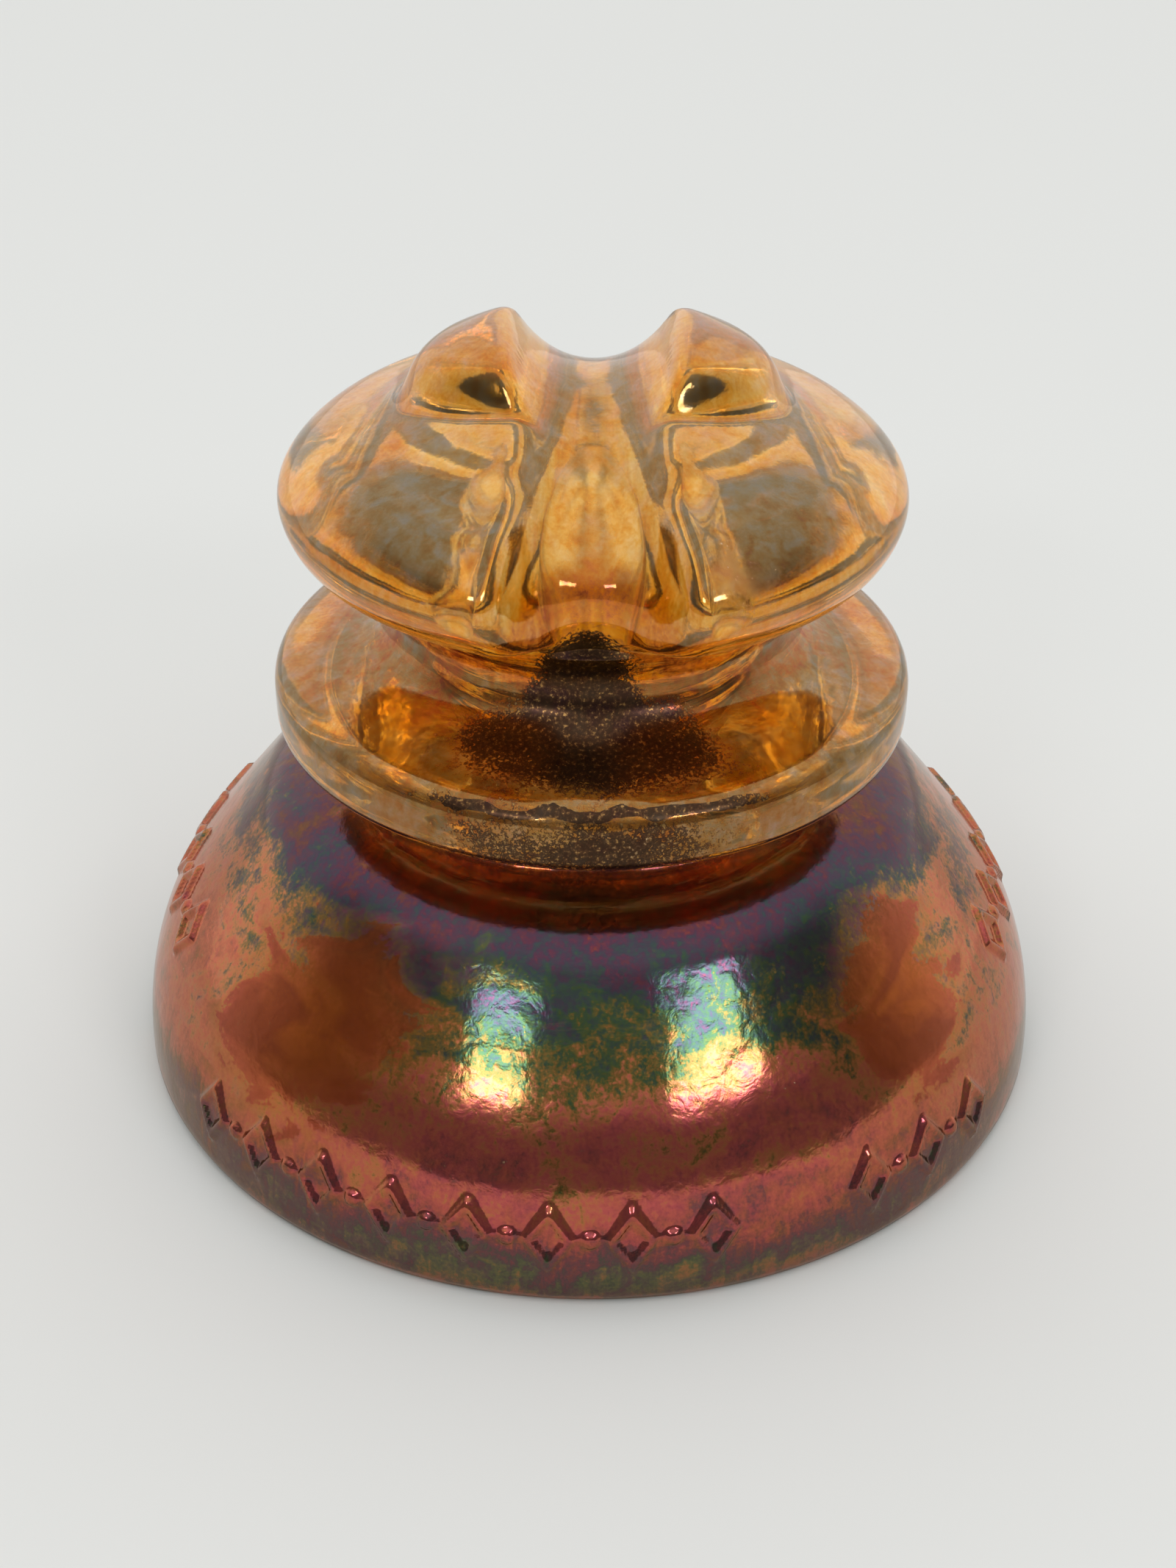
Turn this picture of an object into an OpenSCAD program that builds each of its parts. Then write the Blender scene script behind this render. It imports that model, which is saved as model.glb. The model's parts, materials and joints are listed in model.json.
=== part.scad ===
// Pressed glass pin insulator with a saddle groove, a tie-wire groove and a fired-on lustre coating.
// Millimetres, +Z up, origin at the centre of the resting rim. The conductor lies along Y.

/* [Skirt] */
// Outer radius of the resting rim, the widest part
rim_r = 60; // [58:0.5:62]
// Radius of the skirt's bulge, seen from the side
skirt_bulge_r = 36; // [34:0.5:38]
// Lean of the skirt from the vertical where the bulge ends
skirt_lean = 38; // [36:1:40]
// Width of the flat that the insulator stands on
rim_flat = 2; // [1.5:0.5:2.5]

/* [Necks and collar] */
// Radius of the lower neck, under the collar
lower_neck_r = 31.5; // [30.5:0.5:32.5]
// Outer radius of the collar
collar_r = 40.2; // [39:0.2:42]
// Height of the collar's underside
collar_low = 47.6; // [47.4:0.2:48]
// Height of the collar's upper edge
collar_top = 56.6; // [56:0.2:57]
// Radius of the tie-wire groove at its narrowest
tie_groove_r = 25; // [24:0.5:26]
// Height of the narrowest point of the tie-wire groove
tie_groove_z = 64.5; // [64:0.5:65]

/* [Crown and ears] */
// Outer radius of the crown's lobes
crown_r = 38.4; // [38:0.2:40]
// Height of the lobes' widest point
crown_z = 79.3; // [79:0.1:80]
// Radius of the ears in plan
ear_r = 23.4; // [23:0.2:24]
// Height of the ears' crest
ear_top = 99.7; // [99:0.1:100]

/* [Grooves] */
// Radius of the saddle groove that the conductor lies in
groove_r = 9.5; // [9:0.25:10]
// Height of the saddle groove's bottom at its middle
groove_bottom = 91; // [90:0.5:92]
// Radius that the saddle groove bends down by at both ends
groove_bend_r = 45; // [43:1:47]
// Radius of the notch at each end of the saddle groove, in plan
notch_r = 24; // [22:1:28]
// Distance of the notch from the axis at the middle
notch_y = 30; // [29:0.5:31]

/* [Inside] */
// Radius of the threaded pinhole at its crests
pinhole_r = 12.7; // [12.5:0.1:12.9]
// Height of the pinhole's mouth, which is the foot of the inner petticoat
pinhole_mouth = 10; // [8:1:12]
// Height where the pinhole's wall ends and its dome starts
pinhole_wall_top = 66; // [64:1:67]
// Outer radius of the inner petticoat at its foot
petticoat_r = 22.5; // [21.5:0.5:23.5]
// Height of the hollow between the two petticoats
hollow_top = 35; // [33:1:36]

/* [Coating] */
// Thickness of the lustre coating, thicker than life so that it is a solid
film = 0.3; // [0.2:0.05:0.4]
// Height above the resting rim where the coating starts
film_start = 1.5; // [1:0.5:3]

/* [Hidden] */

$fn = 96;

// Skirt: the rim's rounding, the bulge's height, and the straight lean that follows it
rim_round = 1.5;
skirt_bulge_z = 2;
lean_run = 15;
lean_pull = 7;

// Lower neck and collar: heights, roundings, and how far the curves run on straight
lower_neck_z = 46;
neck_pull = 6;
collar_low_round = 2.4;
collar_top_round = 3.4;
collar_top_turn = 78;
ledge_width = 5;
ledge_rise = 1.4;
waist_rise = 2.4;

// Crown: the neck under it, the lobes, and the ears on top
under_crown_rise = 5;
under_crown_pull = [3.6, 7];
lobe_foot = [0.8, 7.3];
lobe_half_width = 6.7;
lobe_half_height = 7.6;
ear_foot_pulls = [[3, 1.2], [0.4, 1.5]];
ear_foot_drop = 1.5;
ear_shoulder_round = 2.6;
ear_shoulder_inset = 0.3;
ear_shoulder_drop = 6.2;
ear_slope = 25;
crest_r = 13;
crest_rise = 0.4;

// Saddle groove: the seat's depth over the bend, the bend, and the flared lips
seat_drop = 0.5;
bend_angle = 60;
flare = 3.2;
flare_inset = 0.3;
flare_drop = 2.6;

// Inside: the hollow's wall and roof, the petticoat's foot, and the pinhole's dome
hollow_wall_pull = [1.6, 10];
hollow_wide = [24.5, 13];
hollow_edge = [14, 3.2];
hollow_round = 5.6;
hollow_round_r = 8.4;
hollow_turn = [55, 176];
petticoat_round = 3;
mouth_round = 2.5;
dome_height = 8;

// Cuts run past the glass by this much
past = 1;
reach = 200;

rim_inner = [rim_r - rim_round - rim_flat, 0];

skirt_end = [rim_r - skirt_bulge_r * (1 - cos(skirt_lean)),
             skirt_bulge_z + skirt_bulge_r * sin(skirt_lean)];
lean = [-sin(skirt_lean), cos(skirt_lean)];
shoulder = skirt_end + lean_run * lean;
lobe_r = crown_r - lobe_half_width;
ear_shoulder = [ear_r - ear_shoulder_round - ear_shoulder_inset, ear_top - ear_shoulder_drop];
lobe_top_z = crown_z + lobe_half_height;
bend_z = groove_bottom + seat_drop - groove_bend_r;
collar_edge = [collar_r - collar_top_round, collar_top - collar_top_round]
    + collar_top_round * [cos(collar_top_turn), sin(collar_top_turn)];

// Points along an arc about c, of radius r, or of radii r[0] across and r[1] up.
function arc(c, r, a0, a1, steps) =
    let (rx = is_list(r) ? r[0] : r, ry = is_list(r) ? r[1] : r)
    [for (i = [0:steps]) let (a = a0 + (a1 - a0) * i / steps) c + [rx * cos(a), ry * sin(a)]];

// Points along a cubic curve from a to d, without its two ends.
function curve(a, b, c, d, steps) =
    [for (i = [1:steps - 1]) let (t = i / steps, s = 1 - t)
        s * s * s * a + 3 * s * s * t * b + 3 * s * t * t * c + t * t * t * d];

// The outline moved in by a depth, square to the line at each point. The two ends stay on their
// own lines: the foot on the rim's plane and the crest on the axis.
function moved_in(line, depth) =
    [for (i = [0:len(line) - 1])
        let (before = line[max(i - 1, 0)], after = line[min(i + 1, len(line) - 1)],
             way = (after - before) / norm(after - before))
        i == 0 ? line[i] - [depth, 0]
        : i == len(line) - 1 ? [0, line[i][1] - depth]
        : line[i] + depth * [-way[1], way[0]]];

// Outline of the outside, from the foot of the rim to the crest on the axis.
function outside() = concat(
    arc([rim_r - rim_round, rim_round], rim_round, -90, 0, 4),
    arc([rim_r - skirt_bulge_r, skirt_bulge_z], skirt_bulge_r, 0, skirt_lean, 14),
    [shoulder],
    curve(shoulder, shoulder + lean_pull * lean,
          [lower_neck_r, lower_neck_z - neck_pull], [lower_neck_r, lower_neck_z], 10),
    [[lower_neck_r, lower_neck_z]],
    arc([collar_r - collar_low_round, collar_low + collar_low_round], collar_low_round, -90, 0, 6),
    arc([collar_r - collar_top_round, collar_top - collar_top_round], collar_top_round,
        0, collar_top_turn, 6),
    curve(collar_edge, [tie_groove_r + ledge_width, collar_top + ledge_rise],
          [tie_groove_r, collar_top + waist_rise], [tie_groove_r, tie_groove_z], 10),
    [[tie_groove_r, tie_groove_z]],
    curve([tie_groove_r, tie_groove_z], [tie_groove_r, tie_groove_z + under_crown_rise],
          [tie_groove_r, tie_groove_z] + under_crown_pull, [lobe_r, tie_groove_z] + lobe_foot, 8),
    arc([lobe_r, crown_z], [lobe_half_width, lobe_half_height], -75, 84, 14),
    curve([lobe_r, lobe_top_z], [ear_r, lobe_top_z] + ear_foot_pulls[0],
          [ear_r, lobe_top_z] + ear_foot_pulls[1], [ear_r, ear_shoulder[1] - ear_foot_drop], 6),
    arc(ear_shoulder, ear_shoulder_round, 8, 90 - ear_slope, 6),
    [[crest_r, ear_top], [0, ear_top + crest_rise]]);

// Outline of all that is open from below: the hollow between the two petticoats, round the foot of
// the inner one, and up the pinhole to its dome.
function inside() = concat(
    [[0, -past], rim_inner - [0, past], rim_inner],
    curve(rim_inner, rim_inner + [-hollow_wall_pull[0], hollow_wall_pull[1]],
          [petticoat_r + hollow_wide[0], hollow_top - hollow_wide[1]],
          [petticoat_r + hollow_edge[0], hollow_top - hollow_edge[1]], 12),
    arc([petticoat_r + hollow_round_r, hollow_top - hollow_round], hollow_round,
        hollow_turn[0], hollow_turn[1], 8),
    arc([petticoat_r - petticoat_round, pinhole_mouth + petticoat_round], petticoat_round, 0, -90, 5),
    arc([pinhole_r + mouth_round, pinhole_mouth + mouth_round], mouth_round, -90, -180, 5),
    arc([0, pinhole_wall_top], [pinhole_r, dome_height], 0, 90, 10));

// The solid inside the outer surface, at a depth below it.
module solid_to(depth) {
    difference() {
        rotate_extrude() polygon(concat([[0, 0]], moved_in(outside(), depth)));
        saddle_groove(depth);
        for (side = [-1, 1])
            translate([0, side * (notch_y + notch_r), tie_groove_z])
                cylinder(r = notch_r + depth, h = reach);
    }
}

// The conductor's groove: a short straight seat, a bend down at each end, and flared lips.
module saddle_groove(depth) {
    translate([0, 0, groove_bottom + groove_r])
        rotate([90, 0, 0])
            cylinder(r = groove_r + depth, h = reach, center = true);
    translate([0, 0, bend_z])
        rotate([90, 0, 90])
            rotate([0, 0, 90 - bend_angle])
                rotate_extrude(angle = 2 * bend_angle)
                    translate([groove_bend_r + groove_r, 0])
                        circle(r = groove_r + depth);
    rotate([90, 0, 0])
        linear_extrude(reach, center = true)
            polygon([[-groove_r + flare_inset - depth, ear_top - flare_drop],
                     [groove_r - flare_inset + depth, ear_top - flare_drop],
                     [groove_r + flare + depth, ear_top + past],
                     [-groove_r - flare - depth, ear_top + past]]);
}

// The pressed glass, with its pinhole and the hollow between its petticoats.
module glass_body() {
    color([0.78, 0.5, 0.22])
    difference() {
        solid_to(film);
        rotate_extrude() polygon(inside());
    }
}

// The iridescent oxide film over the outside.
module lustre_coating() {
    color([0.5, 0.17, 0.14])
    difference() {
        solid_to(0);
        solid_to(film);
        cylinder(r = reach, h = 2 * film_start, center = true);
    }
}

glass_body();
lustre_coating();
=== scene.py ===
"""Looks of a pressed glass pin insulator with a fired-on lustre coating.

The insulator is one gob of glass pressed in a mould. Its surface is one mesh with two finishes: the
outside carries an iridescent metal-oxide lustre, and the inside, with the pinhole, is bare glass.
Sizes are in millimetres in the classes, and the meshes are in metres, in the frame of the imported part.
"""

from __future__ import annotations

import json
import logging
import math
from dataclasses import dataclass
from enum import Enum

import bmesh
import bpy
import numpy as np
from mathutils import Matrix, Vector

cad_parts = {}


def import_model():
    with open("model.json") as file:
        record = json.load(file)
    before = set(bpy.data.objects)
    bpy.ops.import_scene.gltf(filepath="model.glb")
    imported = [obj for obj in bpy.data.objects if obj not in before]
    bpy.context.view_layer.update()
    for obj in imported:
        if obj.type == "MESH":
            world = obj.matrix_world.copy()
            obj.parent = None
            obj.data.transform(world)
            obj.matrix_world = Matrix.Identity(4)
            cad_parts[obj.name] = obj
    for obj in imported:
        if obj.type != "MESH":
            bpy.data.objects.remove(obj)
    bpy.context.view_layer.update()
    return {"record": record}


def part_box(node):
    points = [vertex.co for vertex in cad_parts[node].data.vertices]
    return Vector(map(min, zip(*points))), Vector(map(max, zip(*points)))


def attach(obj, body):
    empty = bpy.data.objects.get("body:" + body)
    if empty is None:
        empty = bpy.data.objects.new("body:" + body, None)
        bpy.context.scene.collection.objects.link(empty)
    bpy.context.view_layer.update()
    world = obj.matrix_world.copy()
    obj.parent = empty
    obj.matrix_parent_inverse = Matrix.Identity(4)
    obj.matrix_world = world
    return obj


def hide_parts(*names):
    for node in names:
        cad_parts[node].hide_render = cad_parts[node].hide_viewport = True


MM = 0.001
BODY = "root"
GLASS_NODE = "glass_body"
COATING_NODE = "lustre_coating"

Point = tuple[float, float]
Place = tuple[float, float, float]
Stops = tuple[tuple[float, "str | float"], ...]
Array = np.ndarray
Socket = bpy.types.NodeSocket
Tree = bpy.types.NodeTree

log = logging.getLogger("insulator")


# --------------------------------------------------------------------------------------------------
# Outlines and number helpers
# --------------------------------------------------------------------------------------------------


def arc(centre: Point, radii: Point, start: float, end: float, steps: int = 24) -> list[Point]:
    """Points along an arc of a circle or an ellipse.

    Args:
        centre: Centre of the arc, as (radius, height).
        radii: Half width and half height.
        start: First angle in degrees, from the outward direction.
        end: Last angle in degrees.
        steps: Number of steps along the arc.

    Returns:
        The points, both ends included.
    """
    turns = [math.radians(start + (end - start) * i / steps) for i in range(steps + 1)]
    return [(centre[0] + radii[0] * math.cos(t), centre[1] + radii[1] * math.sin(t)) for t in turns]


def curve(a: Point, b: Point, c: Point, d: Point, steps: int = 24) -> list[Point]:
    """Points along a cubic curve from a to d, pulled towards b and c.

    Args:
        a: First point.
        b: First pull.
        c: Second pull.
        d: Last point.
        steps: Number of steps along the curve.

    Returns:
        The points, both ends included.
    """
    line = []
    for i in range(steps + 1):
        t = i / steps
        s = 1 - t
        w = (s**3, 3 * s * s * t, 3 * s * t * t, t**3)
        line.append(tuple(sum(w[k] * p[axis] for k, p in enumerate((a, b, c, d))) for axis in (0, 1)))
    return line


def spaced(line: list[Point], gap: float) -> list[Point]:
    """The same line with its points an even distance apart.

    Args:
        line: Points of the line.
        gap: Distance between neighbours, rounded so that the ends stay.

    Returns:
        The new points, both ends included.
    """
    points = np.array(line)
    run = np.concatenate([[0], np.cumsum(np.linalg.norm(np.diff(points, axis=0), axis=1))])
    stops = np.linspace(0, run[-1], max(2, round(run[-1] / gap) + 1))
    return list(zip(np.interp(stops, run, points[:, 0]), np.interp(stops, run, points[:, 1])))


def soft_max(a: Array, b: Array, blend: float) -> Array:
    """The larger of two fields, with the crease between them rounded.

    Args:
        a: First field.
        b: Second field.
        blend: Width of the rounding, in the unit of the fields.

    Returns:
        The blended field.
    """
    share = np.maximum(blend - np.abs(a - b), 0) / blend
    return np.maximum(a, b) + share * share * blend * 0.25


def moved(point: Point, out: float, up: float) -> Point:
    """The point moved away from the axis and up."""
    return point[0] + out, point[1] + up


def smooth_step(value: Array, low: float, high: float) -> Array:
    """A step from 0 at low to 1 at high, with soft ends."""
    t = np.clip((value - low) / (high - low), 0, 1)
    return t * t * (3 - 2 * t)


# --------------------------------------------------------------------------------------------------
# The shape of the glass
# --------------------------------------------------------------------------------------------------


@dataclass
class Skirt:
    """The outer petticoat: a bell that bulges out and leans in to the lower neck."""

    rim_radius: float
    rim_flat: float = 2.0
    rim_round: float = 1.5
    bulge_radius: float = 36.0
    bulge_height: float = 2.0
    lean: float = 38.0
    lean_run: float = 15.0

    def shoulder(self) -> Point:
        """The point where the straight lean ends.

        Returns:
            Its radius and height.
        """
        lean = math.radians(self.lean)
        radius = self.rim_radius - self.bulge_radius * (1 - math.cos(lean))
        height = self.bulge_height + self.bulge_radius * math.sin(lean)
        return radius - self.lean_run * math.sin(lean), height + self.lean_run * math.cos(lean)

    def outside(self) -> list[Point]:
        """Outline from the resting flat up to the shoulder.

        Returns:
            The outline's points.
        """
        low = (self.rim_radius - self.rim_round, self.rim_round)
        rim = arc(low, (self.rim_round, self.rim_round), -90, 0, 8)
        bulge_centre = (self.rim_radius - self.bulge_radius, self.bulge_height)
        bulge = arc(bulge_centre, (self.bulge_radius, self.bulge_radius), 0, self.lean, 40)
        return rim + bulge + [self.shoulder()]

    def foot(self) -> Point:
        """The inner edge of the resting flat."""
        return self.rim_radius - self.rim_round - self.rim_flat, 0.0


@dataclass
class Necks:
    """The lower neck, the collar and the waist that the tie wire goes round."""

    lower_radius: float = 31.5
    lower_height: float = 46.0
    cove_pulls: tuple[float, float] = (7.0, 6.0)
    collar_radius: float = 40.2
    collar_low: float = 47.6
    collar_top: float = 56.6
    under_pulls: tuple[float, float] = (2.0, 1.2)
    low_round: float = 2.4
    top_round: float = 3.4
    top_turn: float = 80.0
    ledge_pull: Point = (6.0, 1.3)
    waist_pull: float = 1.6
    waist_radius: float = 25.0
    waist_height: float = 64.5

    def outside(self, shoulder: Point, lean: float) -> list[Point]:
        """Outline from the skirt's shoulder up to the waist.

        Args:
            shoulder: Where the skirt's outline ends.
            lean: Lean of the skirt there, in degrees from the vertical.

        Returns:
            The outline's points.
        """
        slope = math.radians(lean)
        neck = (self.lower_radius, self.lower_height)
        along, below = self.cove_pulls
        pull = moved(shoulder, -along * math.sin(slope), along * math.cos(slope))
        cove = curve(shoulder, pull, moved(neck, 0, -below), neck)
        low_centre = (self.collar_radius - self.low_round, self.collar_low + self.low_round)
        out, up = self.under_pulls
        collar_foot = (low_centre[0], self.collar_low)
        under = curve(neck, moved(neck, 0, up), (neck[0] + out, self.collar_low), collar_foot)
        low = arc(low_centre, (self.low_round, self.low_round), -90, 0)
        top_centre = (self.collar_radius - self.top_round, self.collar_top - self.top_round)
        top = arc(top_centre, (self.top_round, self.top_round), 0, self.top_turn)
        waist = (self.waist_radius, self.waist_height)
        ledge = (waist[0] + self.ledge_pull[0], self.collar_top + self.ledge_pull[1])
        ramp = curve(top[-1], ledge, (waist[0], self.collar_top + self.waist_pull), waist)
        return cove + under[1:] + low[1:] + top + ramp[1:]


@dataclass
class Crown:
    """The head: two lobes with an ear on each, and the saddle groove between them.

    The head is spun first, and then each point above the waist moves along a line from the core, until
    it lies on the surface that the groove, the notches and the fall of the ears leave.
    """

    lobe_radius: float = 38.4
    lobe_height: float = 79.3
    lobe_half_width: float = 6.7
    lobe_half_height: float = 7.6
    lobe_turn: tuple[float, float] = (-75.0, 84.0)
    under_pulls: tuple[Point, Point] = ((0.0, 5.0), (-5.0, -0.9))
    cheek_slope: float = 0.35
    cheek_droop: float = 0.02
    droop_start: float = 26.0
    # The ears, each half an oval in plan, and the outline that the head is spun from.
    ear_radius: float = 23.4
    ear_top: float = 99.7
    ear_slope: float = 25.0
    ear_half_length: float = 14.5
    ear_side_slope: float = 2.4
    ear_side_inset: float = 2.2
    ear_round: float = 3.0
    ear_fillet: float = 2.6
    crest_radius: float = 13.6
    ear_foot_pulls: tuple[Point, Point] = ((3.5, 1.1), (0.6, 2.0))
    ear_shoulder_round: float = 3.4
    ear_shoulder_drop: float = 6.4
    crest_start: float = 13.0
    crest_pulls: tuple[Point, Point] = ((-4.0, 1.9), (2.0, 0.0))
    crest_rise: float = 0.3
    # The saddle groove, and the notch and apron at each end of it.
    groove_radius: float = 10.2
    groove_bottom: float = 92.0
    groove_bend: float = 33.0
    groove_widening: float = 0.6
    flare_slope: float = 64.0
    lip_height: float = 80.0
    notch_depth: float = 30.0
    notch_flare: float = 0.1
    apron_slope: float = 0.45
    blend: float = 3.0
    top_blend: float = 1.6
    # The weights even out how fast the fields grow, so that the blends come out round.
    top_weight: float = 0.75
    outline_weight: float = 0.9
    # The search for the surface along each line from the core.
    core_height: float = 70.0
    search_start: float = 0.3
    search_past: float = 0.5
    search_steps: int = 60
    search_halvings: int = 18

    def outside(self, waist: Point) -> list[Point]:
        """Outline from the waist over the lobe and the ear to the axis, as if there were no groove.

        Args:
            waist: Narrowest point of the neck under the head.

        Returns:
            The outline's points.
        """
        centre = (self.lobe_radius - self.lobe_half_width, self.lobe_height)
        lobe = arc(centre, (self.lobe_half_width, self.lobe_half_height), *self.lobe_turn, 60)
        first, second = self.under_pulls
        under = curve(waist, moved(waist, *first), moved(lobe[0], *second), lobe[0])
        ear_centre = (self.ear_radius - self.ear_shoulder_round, self.ear_top - self.ear_shoulder_drop)
        ear = arc(ear_centre, (self.ear_shoulder_round, self.ear_shoulder_round), 8, 90 - self.ear_slope)
        foot = (self.ear_radius, lobe[-1][1])
        first, second = self.ear_foot_pulls
        rise = curve(lobe[-1], moved(foot, *first), moved(foot, *second), ear[0])
        crest = (self.crest_start, self.ear_top)
        first, second = self.crest_pulls
        over = curve(ear[-1], moved(ear[-1], *first), moved(crest, *second), crest)
        peak = (0.0, self.ear_top + self.crest_rise)
        return under + lobe[1:] + rise[1:] + ear[1:] + over[1:] + [peak]

    def top(self, x: Array, y: Array) -> Array:
        """Height of the head's upper surface where no groove cuts it: the flange with its two ears.

        Args:
            x: Distances from the axis across the groove, in millimetres.
            y: Distances from the axis along the groove.

        Returns:
            The heights.
        """
        radius = np.hypot(x, y)
        lobe_top = self.lobe_height + self.lobe_half_height
        flange = lobe_top + (self.lobe_radius - self.lobe_half_width - radius) * self.cheek_slope
        flange = flange - self.cheek_droop * np.maximum(radius - self.droop_start, 0) ** 2
        oval = np.hypot(x, y * self.ear_radius / self.ear_half_length)
        level = np.zeros_like(oval)
        slope = math.tan(math.radians(self.ear_slope))
        fall = slope * soft_max(oval - self.crest_radius, level, self.ear_round)
        past_edge = oval - self.ear_radius + self.ear_side_inset
        side = self.ear_side_slope * soft_max(past_edge, level, self.ear_round)
        return soft_max(self.ear_top - fall - side, flange, self.ear_fillet)

    def cut(self, points: Array) -> Array:
        """How far points are inside what the mould's plungers leave open, in millimetres.

        Args:
            points: Rows of x, y, z in millimetres.

        Returns:
            One number a point: positive in the open, negative in the glass.
        """
        x, y, z = points.T
        bend_centre = self.groove_bottom - self.groove_bend
        radius = self.groove_radius + self.groove_widening * (y / self.notch_depth) ** 2
        lift = np.hypot(y, z - bend_centre) - self.groove_bend - radius
        flare = math.radians(self.flare_slope)
        flank = np.abs(x) * math.sin(flare) - lift * math.cos(flare)
        on_flank = np.arctan2(np.abs(x), -lift) > flare
        groove = radius - np.where(on_flank, flank, np.hypot(x, lift))
        below_lip = np.maximum(self.lip_height - z, 0)
        edge = self.notch_depth - self.apron_slope * below_lip + self.notch_flare * x * x
        steepness = np.sqrt(1 + (2 * self.notch_flare * x) ** 2 + self.apron_slope**2)
        notch = (np.abs(y) - edge) / steepness
        above = (z - self.top(x, y)) * self.top_weight
        return soft_max(soft_max(groove, notch, self.blend), above, self.top_blend)

    def press(self, points: Array) -> Array:
        """Moves the points of the spun head on to the pressed surface.

        Args:
            points: Rows of x, y, z in millimetres, all above the waist.

        Returns:
            The moved points.
        """
        core = np.array([0.0, 0.0, self.core_height])
        arm = points - core
        length = np.linalg.norm(arm, axis=1)
        way = arm / length[:, None]

        def open_at(reach: Array) -> Array:
            """The field along each arm: above zero once the arm is out of the glass."""
            past_outline = (reach - length) * self.outline_weight
            return soft_max(past_outline, self.cut(core + way * reach[:, None]), self.blend)

        low = length * self.search_start
        high = length + self.search_past
        found = np.zeros(len(points), bool)
        for i in range(1, self.search_steps + 1):
            along = i / self.search_steps
            reach = length * (self.search_start + (1 - self.search_start) * along) + self.search_past * along
            outside = (open_at(reach) > 0) & ~found
            high = np.where(outside, reach, high)
            found |= outside
            low = np.where(found, low, reach)
        for _ in range(self.search_halvings):
            middle = (low + high) / 2
            outside = open_at(middle) > 0
            high = np.where(outside, middle, high)
            low = np.where(outside, low, middle)
        return core + way * low[:, None]


@dataclass
class Inside:
    """All that is open from below: the hollow, the inner petticoat and the threaded pinhole."""

    pinhole_radius: float
    mouth: float = 10.0
    mouth_round: float = 2.5
    wall_top: float = 66.0
    dome_corner: float = 4.5
    dome_turn: float = 70.0
    dome_height: float = 7.5
    dome_pulls: tuple[Point, Point] = ((-2.0, 0.7), (3.0, 0.0))
    petticoat_radius: float = 22.5
    petticoat_round: float = 3.0
    hollow_top: float = 35.0
    hollow_wall_pull: Point = (-1.6, 10.0)
    hollow_wide: Point = (24.5, 13.0)
    hollow_edge: Point = (14.0, 3.2)
    hollow_round: float = 5.6
    hollow_round_out: float = 8.4
    hollow_turn: tuple[float, float] = (55.0, 176.0)
    thread_pitch: float = 6.35
    thread_depth: float = 1.3
    thread_fullness: float = 0.8
    thread_run_out: float = 4.0
    wall_tolerance: float = 0.2
    coarse: float = 2.0
    fine: float = 0.85

    def outline(self, foot: Point) -> list[Point]:
        """Outline from the rim's inner edge to the top of the pinhole's dome.

        Args:
            foot: Inner edge of the resting flat.

        Returns:
            The outline's points.
        """
        petticoat = self.petticoat_radius
        wide = (petticoat + self.hollow_wide[0], self.hollow_top - self.hollow_wide[1])
        edge = (petticoat + self.hollow_edge[0], self.hollow_top - self.hollow_edge[1])
        skirt = curve(foot, moved(foot, *self.hollow_wall_pull), wide, edge)
        top_centre = (petticoat + self.hollow_round_out, self.hollow_top - self.hollow_round)
        top = arc(top_centre, (self.hollow_round,) * 2, *self.hollow_turn)
        lip_centre = (petticoat - self.petticoat_round, self.mouth + self.petticoat_round)
        lip = arc(lip_centre, (self.petticoat_round,) * 2, 0, -90)
        mouth_centre = (self.pinhole_radius + self.mouth_round, self.mouth + self.mouth_round)
        mouth = arc(mouth_centre, (self.mouth_round,) * 2, -90, -180)
        corner_centre = (self.pinhole_radius - self.dome_corner, self.wall_top)
        corner = arc(corner_centre, (self.dome_corner,) * 2, 0, self.dome_turn)
        peak = (0.0, self.wall_top + self.dome_height)
        first, second = self.dome_pulls
        dome = curve(corner[-1], moved(corner[-1], *first), moved(peak, *second), peak)
        hollow = spaced(skirt + top, self.coarse)
        bore = spaced(lip + mouth + corner + dome[1:], self.fine)
        return hollow[:-1] + bore

    def thread(self, points: Array) -> Array:
        """Cuts the right-hand thread into the pinhole's wall.

        Args:
            points: Rows of x, y, z in millimetres, all on the inside.

        Returns:
            The moved points.
        """
        x, y, z = points.T
        radius = np.hypot(x, y)
        turn = np.arctan2(y, x) / (2 * math.pi)
        wave = 0.5 - 0.5 * np.cos(2 * math.pi * (z / self.thread_pitch - turn))
        groove = wave**self.thread_fullness * self.thread_depth
        run = self.thread_run_out
        on_wall = smooth_step(z, self.mouth + run, self.mouth + 2 * run)
        on_wall = on_wall * (1 - smooth_step(z, self.wall_top - run, self.wall_top))
        on_wall = on_wall * (np.abs(radius - self.pinhole_radius) < self.wall_tolerance)
        grown = (radius + groove * on_wall) / np.maximum(radius, 1e-6)
        return np.stack([x * grown, y * grown, z], axis=1)


class Mark(Enum):
    """The plain ornaments of the raised bands."""

    LOZENGE = "lozenge"
    DOT = "dot"


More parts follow.
